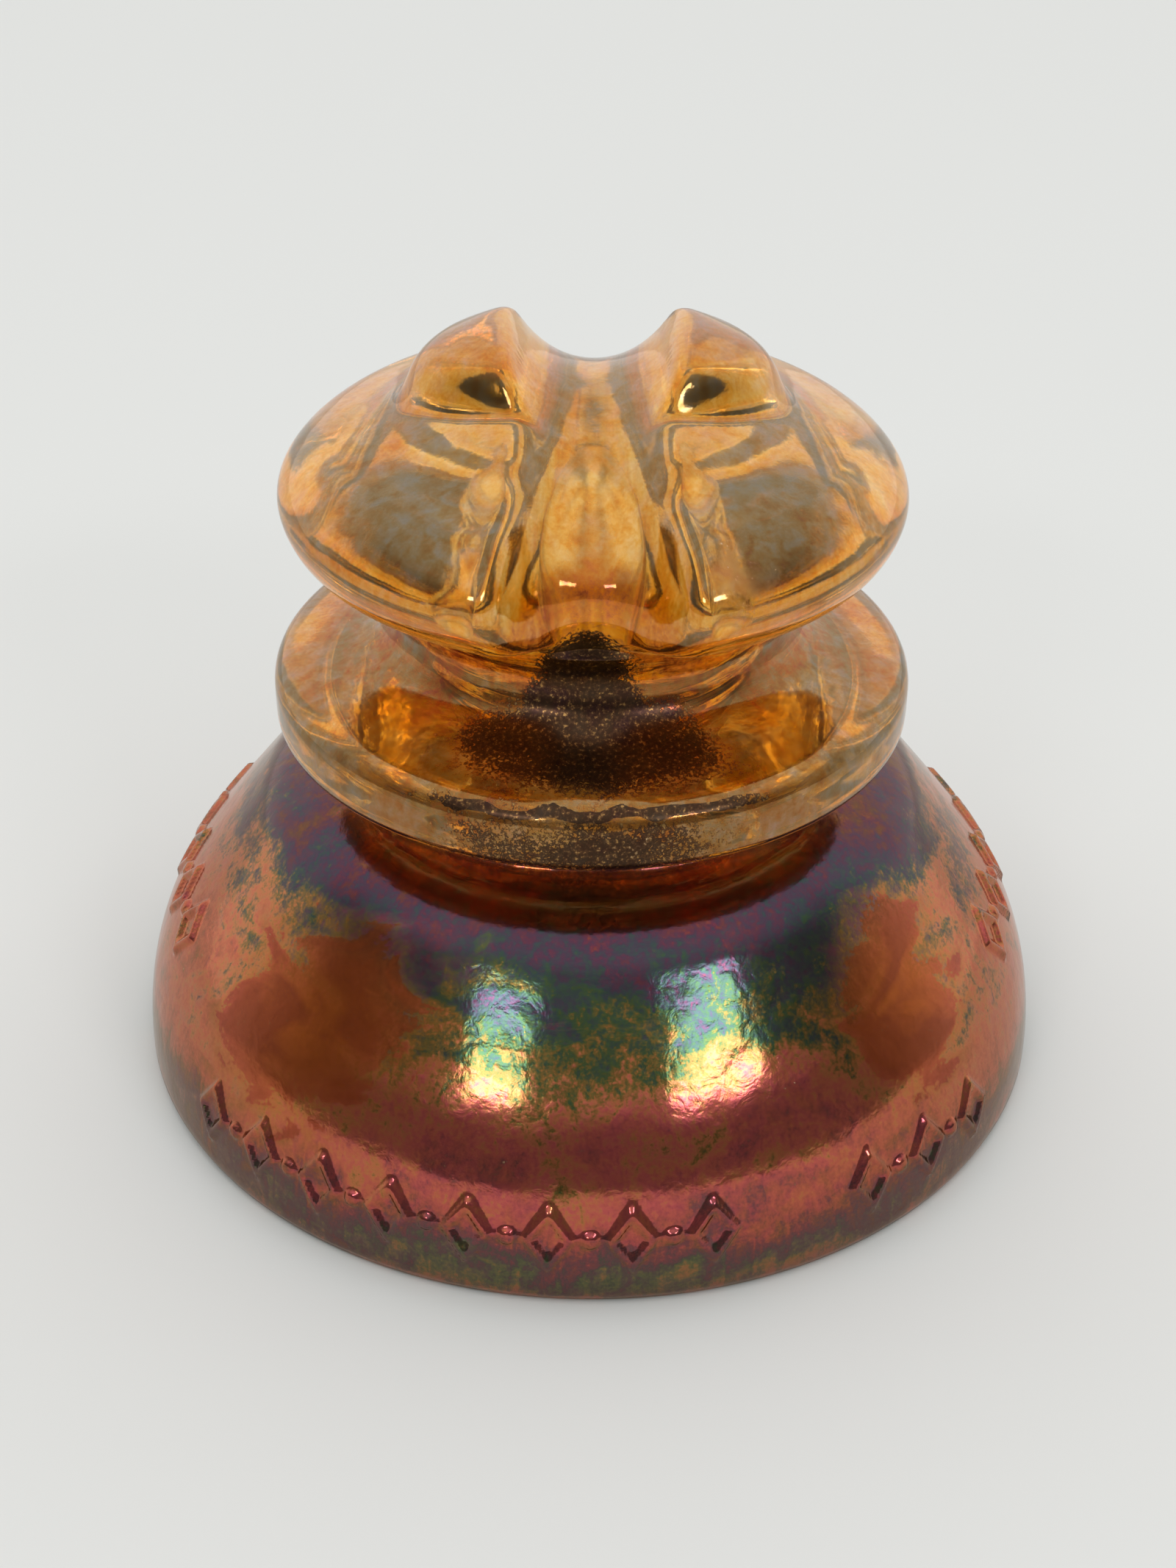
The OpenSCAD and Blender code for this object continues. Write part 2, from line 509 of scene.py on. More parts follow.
@dataclass(frozen=True)
class MarkBand:
    """A row of raised ornaments round part of the skirt: hollow lozenges with a dot between each two."""

    height: float
    start: float
    end: float
    pitch: float = 9.5
    half_width: float = 2.5
    half_height: float = 3.5
    dot_radius: float = 0.9
    stroke: float = 0.9
    flat_share: float = 0.2
    rise: float = 0.6
    margin: tuple[float, float] = (5.0, 2.0)

    def marks(self) -> list[tuple[float, Mark]]:
        """The ornaments, from one end of the band to the other.

        Returns:
            The bearing and kind of each.
        """
        count = round((self.end - self.start) / self.pitch)
        lozenges = [(self.start + self.pitch * i, Mark.LOZENGE) for i in range(count + 1)]
        dots = [(bearing + self.pitch / 2, Mark.DOT) for bearing, _ in lozenges[:-1]]
        return lozenges + dots

    def holds(self, bearing: float, height: float) -> bool:
        """True if a place on the skirt is in this band or its margin.

        Args:
            bearing: Degrees from the front towards +X.
            height: Height of the place, in millimetres.

        Returns:
            Whether the place is in the band.
        """
        beside, above = self.margin
        away = abs((bearing - (self.start + self.end) / 2 + 180) % 360 - 180)
        in_height = abs(height - self.height) < self.half_height + above
        return in_height and away < (self.end - self.start) / 2 + beside

    def raised(self, bearing: Array, radius: Array, height: Array, lean: Array) -> Array:
        """How far the ornaments stand up from the skirt.

        Args:
            bearing: Degrees from the front towards +X.
            radius: Radius of the skirt at each place, in millimetres.
            height: Height of each place.
            lean: Length along the surface for each millimetre of height.

        Returns:
            The rise at each place, in millimetres.
        """
        highest = np.zeros_like(bearing)
        up = (height - self.height) * lean
        slope = self.half_width * self.half_height / math.hypot(self.half_width, self.half_height)
        for centre, kind in self.marks():
            across = np.radians((bearing - centre + 180) % 360 - 180) * radius
            if kind is Mark.LOZENGE:
                off = (np.abs(across) / self.half_width + np.abs(up) / self.half_height - 1) * slope
            else:
                off = np.maximum(np.hypot(across, up) - self.dot_radius + self.stroke / 2, 0)
            ridge = 1 - smooth_step(np.abs(off), self.stroke * self.flat_share, self.stroke)
            highest = np.maximum(highest, self.rise * ridge)
        return highest


@dataclass
class GlassBody:
    """The whole insulator as one closed surface, coated outside and bare inside."""

    skirt: Skirt
    necks: Necks
    crown: Crown
    inside: Inside
    bands: tuple[MarkBand, ...]
    around: int = 216
    coarse: float = 1.2
    middle: float = 0.8
    fine: float = 0.6
    mark_cuts: int = 3
    pressed_above: float = 4.0

    def outer(self) -> list[Point]:
        """The outer outline, from the rim's flat to the crest.

        Returns:
            The outline's points, spaced as finely as each part needs.
        """
        low = spaced(self.skirt.outside(), self.coarse)
        waist = spaced(self.necks.outside(self.skirt.shoulder(), self.skirt.lean), self.middle)
        head = spaced(self.crown.outside((self.necks.waist_radius, self.necks.waist_height)), self.fine)
        return low + waist[1:] + head[1:]

    def build(self, name: str) -> bpy.types.Object:
        """Spins the outline, presses the head, raises the marks and cuts the thread.

        Args:
            name: Name of the piece.

        Returns:
            The finished object, linked to the scene.
        """
        bm = bmesh.new()
        outside = bm.verts.layers.float.new("outside")
        inner = self.inside.outline(self.skirt.foot())
        chain = [(point, 0.0) for point in reversed(inner)] + [(point, 1.0) for point in self.outer()]
        verts = []
        for (radius, height), coated in chain:
            vert = bm.verts.new((max(radius, 0.0) * MM, 0, height * MM))
            vert[outside] = coated
            verts.append(vert)
        edges = [bm.edges.new(pair) for pair in zip(verts, verts[1:])]
        bmesh.ops.spin(
            bm,
            geom=verts + edges,
            cent=(0, 0, 0),
            axis=(0, 0, 1),
            angle=2 * math.pi,
            steps=self.around,
            use_merge=True,
        )
        bmesh.ops.remove_doubles(bm, verts=bm.verts, dist=1e-6)
        covered = [face for face in bm.faces if self.is_marked(face, outside)]
        marked = dict.fromkeys(edge for face in covered for edge in face.edges)
        bmesh.ops.subdivide_edges(bm, edges=list(marked), cuts=self.mark_cuts, use_grid_fill=True)
        bmesh.ops.recalc_face_normals(bm, faces=bm.faces)
        for face in bm.faces:
            face.smooth = True
            face.material_index = 0 if all(v[outside] > 0.5 for v in face.verts) else 1
        mesh = bpy.data.meshes.new(name)
        bm.to_mesh(mesh)
        bm.free()
        self.shape(mesh)
        piece = bpy.data.objects.new(name, mesh)
        bpy.context.scene.collection.objects.link(piece)
        return piece

    def is_marked(self, face: bmesh.types.BMFace, outside: bmesh.types.BMLayerItem) -> bool:
        """True if a face of the outside is under one of the bands of marks.

        Args:
            face: The face.
            outside: Layer that is 1 at the outside's points.

        Returns:
            Whether a band covers the face.
        """
        if any(vert[outside] < 0.5 for vert in face.verts):
            return False
        middle = face.calc_center_median() / MM
        bearing = math.degrees(math.atan2(middle.x, -middle.y))
        return any(band.holds(bearing, middle.z) for band in self.bands)

    def shape(self, mesh: bpy.types.Mesh) -> None:
        """Moves the spun surface to its pressed form.

        Args:
            mesh: The spun mesh, in metres.
        """
        numbers = np.zeros(len(mesh.vertices) * 3)
        mesh.vertices.foreach_get("co", numbers)
        points = numbers.reshape(-1, 3) / MM
        coated = np.zeros(len(points))
        mesh.attributes["outside"].data.foreach_get("value", coated)
        height = points[:, 2]
        head = (coated > 0.5) & (height > self.necks.waist_height + self.pressed_above)
        points[head] = self.crown.press(points[head])
        skirt = (coated > 0.5) & (height > self.skirt.rim_round) & (height < self.skirt.shoulder()[1])
        points[skirt] = self.emboss(points[skirt])
        bore = coated < 0.5
        points[bore] = self.inside.thread(points[bore])
        mesh.vertices.foreach_set("co", (points * MM).ravel())
        mesh.attributes.remove(mesh.attributes["outside"])
        mesh.update()

    def emboss(self, points: Array) -> Array:
        """Puts points of the skirt on its true curve and raises the marks.

        Args:
            points: Rows of x, y, z in millimetres, all on the skirt's outside.

        Returns:
            The moved points.
        """
        radii, heights = np.array(self.skirt.outside()).T
        slope = np.interp(points[:, 2], heights, np.gradient(radii, heights))
        radius = np.interp(points[:, 2], heights, radii)
        lean = np.sqrt(1 + slope**2)
        bearing = np.arctan2(points[:, 0], -points[:, 1])
        rise = np.zeros(len(points))
        for band in self.bands:
            rise = np.maximum(rise, band.raised(np.degrees(bearing), radius, points[:, 2], lean))
        out = radius + rise / lean
        height = points[:, 2] - rise * slope / lean
        return np.stack([out * np.sin(bearing), -out * np.cos(bearing), height], axis=1)


# --------------------------------------------------------------------------------------------------
# Finishes
# --------------------------------------------------------------------------------------------------


def linear(code: str) -> tuple[float, float, float, float]:
    """A linear colour from its sRGB code.

    Args:
        code: The colour as a hex code.

    Returns:
        Linear red, green and blue, and an alpha of 1.
    """
    parts = [int(code.lstrip("#")[i : i + 2], 16) / 255 for i in (0, 2, 4)]
    red, green, blue = (p / 12.92 if p <= 0.04045 else ((p + 0.055) / 1.055) ** 2.4 for p in parts)
    return red, green, blue, 1.0


def add(
    tree: Tree,
    kind: str,
    inputs: dict[str | int, object] | None = None,
    output: str | int = 0,
    stops: Stops = (),
    **settings: object,
) -> Socket | None:
    """Adds a node with its settings, and sets or links its inputs.

    Args:
        tree: The material's node tree.
        kind: The node's type name.
        inputs: Input name or index to a value, or to a socket that it is linked from.
        output: The output to return.
        stops: For a colour ramp, pairs of a place and a hex colour or a grey level.
        **settings: The node's own properties.

    Returns:
        The chosen output, or None for an output node.
    """
    node = tree.nodes.new(kind)
    for name, value in settings.items():
        setattr(node, name, value)
    for name, value in (inputs or {}).items():
        if isinstance(value, Socket):
            tree.links.new(value, node.inputs[name])
        else:
            node.inputs[name].default_value = value
    for i, (place, shade) in enumerate(stops):
        elements = node.color_ramp.elements
        if i == 0:
            elements.remove(elements[1])
        element = elements.new(place) if i else elements[0]
        element.position = place
        element.color = linear(shade) if isinstance(shade, str) else (shade, shade, shade, 1.0)
    return node.outputs[output] if node.outputs else None


def blank(name: str) -> tuple[bpy.types.Material, Tree]:
    """A new material with an empty node tree.

    Args:
        name: Name of the material.

    Returns:
        The material and its node tree.
    """
    material = bpy.data.materials.new(name)
    material.use_nodes = True
    material.node_tree.nodes.clear()
    return material, material.node_tree


@dataclass(frozen=True)
class Spot:
    """A soft oval patch of the film: 1 at its centre, falling to 0 at its radii, in millimetres."""

    centre: Place
    radii: Place

    def build(self, tree: Tree, mm: Socket) -> Socket:
        """Builds the patch.

        Args:
            tree: The material's node tree.
            mm: Place in millimetres.

        Returns:
            The patch's strength at each place.
        """
        local = add(
            tree,
            "ShaderNodeMapping",
            {"Vector": mm, "Location": self.centre, "Scale": self.radii},
            vector_type="TEXTURE",
        )
        return add(tree, "ShaderNodeTexGradient", {"Vector": local}, "Fac", gradient_type="SPHERICAL")


def total(tree: Tree, parts: tuple[tuple[Socket, Socket | float], ...], start: float = 0.0) -> Socket:
    """Adds up patterns, each times its own weight.

    Args:
        tree: The material's node tree.
        parts: Pairs of a pattern and its weight.
        start: What the sum starts from.

    Returns:
        The sum.
    """
    result: Socket | float = start
    for pattern, weight in parts:
        terms = {0: pattern, 1: weight, 2: result}
        result = add(tree, "ShaderNodeMath", terms, operation="MULTIPLY_ADD")
    return result


@dataclass(frozen=True)
class Flaws:
    """Where the film isn't whole, from 0 to 1: burnt to soot (which also carries a painted dark reflection
    line on the collar), scuffed off, and thin, with painted see-through light.
    """

    soot: Socket
    worn: Socket
    thin: Socket


@dataclass(frozen=True)
class LustreGlass:
    """Borosilicate glass under a fired-on metal-oxide lustre.

    The film is a few hundred nanometres of high-index oxide. It mirrors and tints in colours that
    follow its thickness: straw and amber where it is thin on the head, then maroon, slate, olive and
    rose down the skirt, and olive again at the rim. The spray was uneven, so the thickness wanders.
    Where it was heaviest, on the front of the waist, it burnt to a dark soot with bronze grains. A dark line
    along the collar's upper edge is painted reflection, drawn in the soot's colours.
    """

    name: str = "lustre_on_pressed_glass"
    glass_ior: float = 1.47
    film_ior: float = 1.9
    full_height: float = 100.0
    thickest: float = 400.0
    sheen_full: float = 500.0
    # Thickness of the film in nanometres at heights in millimetres.
    film: tuple[Point, ...] = (
        (0, 352),
        (2.5, 336),
        (6.5, 320),
        (9.5, 290),
        (12, 268),
        (14, 264),
        (20, 256),
        (26, 252),
        (31, 240),
        (36, 216),
        (40, 182),
        (43, 152),
        (45, 130),
        (47, 106),
        (50, 88),
        (56, 90),
        (60, 110),
        (69, 110),
        (74, 94),
        (82, 82),
        (92, 72),
        (100, 90),
    )
    # The same down the front of the skirt. The split between front and sides is painted sheen: the sides
    # keep a film that shows the salmon of the film seen at a slant.
    front_sheen_film: tuple[Point, ...] = (
        (0, 352),
        (2.5, 336),
        (6.5, 320),
        (9.5, 290),
        (12, 268),
        (14, 268),
        (20, 258),
        (24, 242),
        (28, 224),
        (33, 204),
        (38, 178),
        (43, 152),
        (45, 130),
        (47, 106),
    )
    # Colour of the film at thicknesses in nanometres.
    colours: tuple[tuple[float, str], ...] = (
        (50, "#F6D494"),
        (66, "#F2BC68"),
        (80, "#EAA036"),
        (94, "#DE8010"),
        (108, "#D26200"),
        (120, "#BE5A18"),
        (134, "#9A4226"),
        (148, "#743428"),
        (162, "#563029"),
        (178, "#46342C"),
        (196, "#403C32"),
        (214, "#46442A"),
        (230, "#80542C"),
        (246, "#C66C48"),
        (262, "#C8584A"),
        (280, "#AC4C42"),
        (300, "#744634"),
        (322, "#504C38"),
        (340, "#6E6242"),
        (360, "#A86844"),
        (400, "#B06C4C"),
    )
    # Optical thickness in nanometres that its mirror colours show, denser where it is thicker.
    sheen: tuple[Point, ...] = (
        (60, 100),
        (140, 128),
        (150, 262),
        (160, 276),
        (176, 292),
        (200, 322),
        (224, 352),
        (244, 380),
        (260, 398),
        (290, 410),
        (345, 500),
    )
    # Painted sheen: where the front's film takes over from the sides'.
    front: Spot = Spot((2, -56, 26), (62, 52, 34))
    skirt_top: float = 47.0
    # Height in millimetres that the bands of film wander up and down.
    wander: float = 12.0
    # Shares of the thickest by which clouds, drifts, streaks and grains change the film, and their mean.
    uneven: tuple[float, float, float, float] = (0.24, 0.12, 0.14, 0.13)
    uneven_mean: float = 0.315
    # Patches of painted see-through light: the film is thinned and mirrors less there, so the skirt shows
    # the glass's orange as if lit through. The orange is the glass's own; where it shows is painted.
    amber: tuple[Spot, ...] = (Spot((-33, -38, 24), (25, 18, 20)), Spot((38, -33, 25), (16, 17, 18)))
    # Orange of the painted see-through light.
    glow: Stops = ((0.35, "#F07400"), (0.6, "#C04E00"))
    notch: Spot = Spot((0, -29, 73), (19, 11, 11))
    notch_film: float = 108.0
    soot: tuple[Spot, Spot] = (Spot((0, -29, 59.5), (24, 10, 6.5)), Spot((-1, -25, 65), (8, 9, 11)))
    burnt: Stops = ((0.46, "#30221E"), (0.6, "#543A2A"), (0.7, "#B08850"))
    # Height and half width of the dark line painted along the collar's upper edge as a reflection, and the
    # radius that it starts from.
    collar_painted_reflection: tuple[float, float] = (55.5, 0.5)
    collar_inner: float = 37.5
    speckle: Spot = Spot((0, -40, 51), (33, 14, 9))
    worn: Spot = Spot((15, -31, 81), (9, 8, 6))
    scuffed: str = "#F0E2C8"

    def build(self) -> bpy.types.Material:
        """Makes the material.

        Returns:
            The material.
        """
        material, tree = blank(self.name)
        place = add(tree, "ShaderNodeTexCoord", output="Object")
        mm = add(tree, "ShaderNodeMapping", {"Vector": place, "Scale": (1 / MM,) * 3})
        # The spray fell in drifts of 22 mm, clouds 11 mm wide and 6 mm high, and grains of 0.5 mm.
        drift = {"Vector": mm, "Scale": 1 / 22, "Detail": 4.0, "Roughness": 0.6}
        drift = add(tree, "ShaderNodeTexNoise", drift)
        layers = add(tree, "ShaderNodeMapping", {"Vector": mm, "Scale": (1 / 11, 1 / 11, 1 / 6)})
        cloud = {"Vector": layers, "Scale": 1.0, "Detail": 6.0, "Distortion": 1.0}
        cloud = add(tree, "ShaderNodeTexNoise", cloud)
        grain = {"Vector": mm, "Scale": 1 / 0.5, "Detail": 2.0, "Roughness": 0.7}
        grain = add(tree, "ShaderNodeTexNoise", grain)
        # Firing left a peel of 2 mm.
        peel = {"Vector": mm, "Scale": 1 / 2, "Detail": 3.0, "Distortion": 0.5}
        peel = add(tree, "ShaderNodeTexNoise", peel)
        share = self.thickness(tree, mm, drift, cloud, grain)
        flaws = Flaws(
            self.soot_and_painted_reflection(tree, mm, cloud, grain),
            self.bare(tree, mm, cloud, grain),
            self.painted_see_through_patches(tree, mm, cloud),
        )
        shader = add(
            tree,
            "ShaderNodeBsdfPrincipled",
            {
                "Base Color": self.colour(tree, share, cloud, grain, flaws),
                "Metallic": self.metal(tree, share, flaws),
                "Roughness": self.rough(tree, share, grain, flaws),
                "IOR": self.glass_ior,
                "Normal": self.surface(tree, mm, peel, grain, share),
                "Specular Tint": linear("#FFF2E8"),
                "Transmission Weight": 1.0,
                "Thin Film Thickness": self.mirror(tree, share, peel, grain, flaws),
                "Thin Film IOR": self.film_ior,
            },
        )
        add(tree, "ShaderNodeOutputMaterial", {"Surface": shader})
        return material

    def thickness(self, tree: Tree, mm: Socket, drift: Socket, cloud: Socket, grain: Socket) -> Socket:
        """Thickness of the film.

        Args:
            tree: The material's node tree.
            mm: Place in millimetres.
            drift: Slow changes of the spray.
            cloud: Clouds of the spray.
            grain: Fine grains of the spray.

        Returns:
            The thickness, as a share of the thickest.
        """
        height = add(tree, "ShaderNodeSeparateXYZ", {"Vector": mm}, "Z")
        full = self.full_height
        level = total(tree, ((drift, self.wander / full), (height, 1 / full)), -self.wander / 2 / full)
        side, front = (
            add(
                tree,
                "ShaderNodeValToRGB",
                {"Fac": level},
                stops=[(z / full, film / self.thickest) for z, film in profile],
            )
            for profile in (self.film, self.front_sheen_film)
        )
        # Painted sheen: the front of the skirt takes the front's film, and the sides keep the salmon that a
        # slanting view of the film gives.
        front_sheen_share = total(tree, ((cloud, 0.8), (self.front.build(tree, mm), 1.0)))
        front_sheen_share = {"Value": front_sheen_share, "From Min": 0.6, "From Max": 0.86}
        front_sheen_share = add(tree, "ShaderNodeMapRange", front_sheen_share, interpolation_type="SMOOTHSTEP")
        on_skirt = add(tree, "ShaderNodeMath", {0: height, 1: self.skirt_top}, operation="LESS_THAN")
        front_sheen_share = add(tree, "ShaderNodeMath", {0: front_sheen_share, 1: on_skirt}, operation="MULTIPLY")
        share = add(tree, "ShaderNodeMix", {0: front_sheen_share, 2: side, 3: front})
        in_notch = {"Value": self.notch.build(tree, mm), "From Min": 0.1, "From Max": 0.4}
        in_notch = add(tree, "ShaderNodeMapRange", in_notch, interpolation_type="SMOOTHSTEP")
        share = add(tree, "ShaderNodeMix", {0: in_notch, 2: share, 3: self.notch_film / self.thickest})
        # Streaks 1.5 mm wide and 7 mm high, where the spray ran.
        streak = add(tree, "ShaderNodeMapping", {"Vector": mm, "Scale": (1 / 1.5, 1 / 1.5, 1 / 7)})
        streak = {"Vector": streak, "Scale": 1.0, "Detail": 4.0, "Distortion": 1.0}
        streak = add(tree, "ShaderNodeTexNoise", streak)
        patterns = (cloud, drift, streak, grain)
        uneven = total(tree, tuple(zip(patterns, self.uneven)), -self.uneven_mean)
        # The skirt is more uneven than the head.
        gain = {"Value": height, "From Min": 40, "From Max": 48, "To Min": 1.25, "To Max": 0.85}
        gain = add(tree, "ShaderNodeMapRange", gain)
        return total(tree, ((uneven, gain), (share, 1.0)))

    def painted_see_through_patches(self, tree: Tree, mm: Socket, cloud: Socket) -> Socket:
        """Painted light: patches of the skirt where the film is thinned, so that it shows orange as if lit
        through.

        Args:
            tree: The material's node tree.
            mm: Place in millimetres.
            cloud: Clouds of the spray.

        Returns:
            How much painted see-through light there is, from 0 to 1.
        """
        spots = tuple((spot.build(tree, mm), 1.0) for spot in self.amber)
        thin = total(tree, spots + ((cloud, 1.3),))
        thin = {"Value": thin, "From Min": 0.75, "From Max": 1.45, "To Max": 0.95}
        return add(tree, "ShaderNodeMapRange", thin, interpolation_type="SMOOTHSTEP")

    def soot_and_painted_reflection(self, tree: Tree, mm: Socket, cloud: Socket, grain: Socket) -> Socket:
        """Where the film burnt to soot, solid on the waist and in specks on the collar below it, with a
        painted dark reflection line along the collar's upper edge.

        Args:
            tree: The material's node tree.
            mm: Place in millimetres.
            cloud: Clouds of the spray.
            grain: Fine grains of the spray.

        Returns:
            How much soot and painted reflection there is, from 0 to 1.
        """
        speckle = self.speckle.build(tree, mm)
        spots = tuple((spot.build(tree, mm), 1.5) for spot in self.soot)
        soot_and_painted_reflection = total(tree, spots + ((speckle, 0.8), (cloud, 0.9), (grain, 1.4)))
        # Painted reflection: a dark line along the upper edge of the collar, strongest at the front, in the
        # soot's colours.
        height = add(tree, "ShaderNodeSeparateXYZ", {"Vector": mm}, "Z")
        plan = add(tree, "ShaderNodeMapping", {"Vector": mm, "Scale": (1.0, 1.0, 0.0)})
        radius = add(tree, "ShaderNodeVectorMath", {0: plan}, "Value", operation="LENGTH")
        on_edge = add(tree, "ShaderNodeMath", {0: radius, 1: self.collar_inner}, operation="GREATER_THAN")
        middle, reach = self.collar_painted_reflection
        line = total(tree, ((cloud, 3.0), (height, 1.0)), -1.5)
        line = add(tree, "ShaderNodeMath", {0: line, 1: middle, 2: reach}, operation="COMPARE")
        line = add(tree, "ShaderNodeMath", {0: line, 1: on_edge}, operation="MULTIPLY")
        near = add(tree, "ShaderNodeMapRange", {"Value": speckle, "From Max": 0.4, "To Max": 0.8})
        soot_and_painted_reflection = total(tree, ((line, near), (soot_and_painted_reflection, 1.0)))
        soot_and_painted_reflection = {"Value": soot_and_painted_reflection, "From Min": 1.5, "From Max": 1.72}
        return add(tree, "ShaderNodeMapRange", soot_and_painted_reflection, interpolation_type="SMOOTHSTEP")

    def bare(self, tree: Tree, mm: Socket, cloud: Socket, grain: Socket) -> Socket:
        """Where handling has scuffed the film off the lip of the groove, on one side.

        Args:
            tree: The material's node tree.
            mm: Place in millimetres.
            cloud: Clouds of the spray.
            grain: Fine grains of the spray.

        Returns:
            How scuffed the film is, from 0 to 0.35.
        """
        worn = total(tree, ((cloud, 1.6), (self.worn.build(tree, mm), 1.0), (grain, 1.2)))
        worn = {"Value": worn, "From Min": 1.85, "From Max": 2.2, "To Max": 0.35}
        return add(tree, "ShaderNodeMapRange", worn, interpolation_type="SMOOTHSTEP")

    def colour(self, tree: Tree, share: Socket, cloud: Socket, grain: Socket, flaws: Flaws) -> Socket:
        """Colour of the glass and its film.

        Args:
            tree: The material's node tree.
            share: Thickness of the film, as a share of the thickest.
            cloud: Clouds of the spray.
            grain: Fine grains of the spray.
            flaws: Where the film isn't whole.

        Returns:
            The colour.
        """
        stops = [(film / self.thickest, code) for film, code in self.colours]
        colour = add(tree, "ShaderNodeValToRGB", {"Fac": share}, stops=stops)
        # Painted light: the orange glow of the see-through patches.
        glow = add(tree, "ShaderNodeValToRGB", {"Fac": cloud}, stops=self.glow)
        # The soot's colours also paint the dark reflection line on the collar.
        burnt = add(tree, "ShaderNodeValToRGB", {"Fac": grain}, stops=self.burnt)
        layers = ((flaws.thin, glow), (flaws.soot, burnt), (flaws.worn, linear(self.scuffed)))
        for where, shade in layers:
            colour = add(tree, "ShaderNodeMix", {0: where, 6: colour, 7: shade}, 2, data_type="RGBA")
        return colour

    def metal(self, tree: Tree, share: Socket, flaws: Flaws) -> Socket:
        """How much the film hides the glass: little where it is thin, and mostly where it is thick.

        Args:
            tree: The material's node tree.
            share: Thickness of the film, as a share of the thickest.
            flaws: Where the film isn't whole.

        Returns:
            The metallic share.
        """
        metal = {"Value": share, "From Min": 0.26, "From Max": 0.36, "To Min": 0.02, "To Max": 0.68}
        metal = add(tree, "ShaderNodeMapRange", metal, interpolation_type="SMOOTHSTEP")
        # Less metal where the see-through light is painted.
        for where, level in ((flaws.thin, 0.35), (flaws.soot, 0.85)):
            metal = add(tree, "ShaderNodeMix", {0: where, 2: metal, 3: level})
        return metal

    def rough(self, tree: Tree, share: Socket, grain: Socket, flaws: Flaws) -> Socket:
        """Roughness: fire-polished glass under thin film, satin soot and scuffs.

        Args:
            tree: The material's node tree.
            share: Thickness of the film, as a share of the thickest.
            grain: Fine grains of the spray.
            flaws: Where the film isn't whole.

        Returns:
            The roughness.
        """
        rough = {"Value": share, "From Min": 0.25, "From Max": 0.45, "To Min": 0.04, "To Max": 0.1}
        rough = add(tree, "ShaderNodeMapRange", rough)
        rough = total(tree, ((grain, 0.06), (rough, 1.0)))
        for where, level in ((flaws.soot, 0.28), (flaws.worn, 0.45)):
            rough = add(tree, "ShaderNodeMix", {0: where, 2: rough, 3: level})
        return rough

    def mirror(self, tree: Tree, share: Socket, peel: Socket, grain: Socket, flaws: Flaws) -> Socket:
        """Optical thickness of the film, which sets its mirror colours.

        Args:
            tree: The material's node tree.
            share: Thickness of the film, as a share of the thickest.
            peel: Peel of the fired film.
            grain: Fine grains of the spray.
            flaws: Where the film isn't whole.

        Returns:
            The optical thickness in nanometres.
        """
        stops = [(film / self.thickest, sheen / self.sheen_full) for film, sheen in self.sheen]
        dense = add(tree, "ShaderNodeValToRGB", {"Fac": share}, stops=stops)
        dense = total(tree, ((peel, 0.16), (dense, 1.0)), -0.08)
        # The film breaks off in grains round the patches of painted see-through light.
        gone = total(tree, ((grain, 0.6), (flaws.thin, 1.0)))
        kept = add(tree, "ShaderNodeMath", {0: gone, 1: 0.75}, operation="LESS_THAN")
        dense = add(tree, "ShaderNodeMath", {0: dense, 1: kept}, operation="MULTIPLY")
        return add(tree, "ShaderNodeMath", {0: dense, 1: self.sheen_full}, operation="MULTIPLY")

    def surface(self, tree: Tree, mm: Socket, peel: Socket, grain: Socket, share: Socket) -> Socket:
        """Relief of the surface: waves of 7 mm from the mould, peel under thick film, and grains.

        Args:
            tree: The material's node tree.
            mm: Place in millimetres.
            peel: Peel of the fired film.
            grain: Fine grains of the spray.
            share: Thickness of the film, as a share of the thickest.

        Returns:
            The normals.
        """
        waves = add(tree, "ShaderNodeTexNoise", {"Vector": mm, "Scale": 1 / 7, "Detail": 1.0})
        relief = {"Height": waves, "Strength": 1.0, "Distance": 0.14 * MM}
        normal = add(tree, "ShaderNodeBump", relief)
        depth = {"Value": share, "From Min": 0.25, "From Max": 0.45, "To Min": 0.2}
        depth = add(tree, "ShaderNodeMapRange", depth)
        relief = {"Height": peel, "Strength": depth, "Distance": 0.04 * MM, "Normal": normal}
        normal = add(tree, "ShaderNodeBump", relief)
        relief = {"Height": grain, "Strength": 0.5, "Distance": 0.01 * MM, "Normal": normal}
        return add(tree, "ShaderNodeBump", relief)


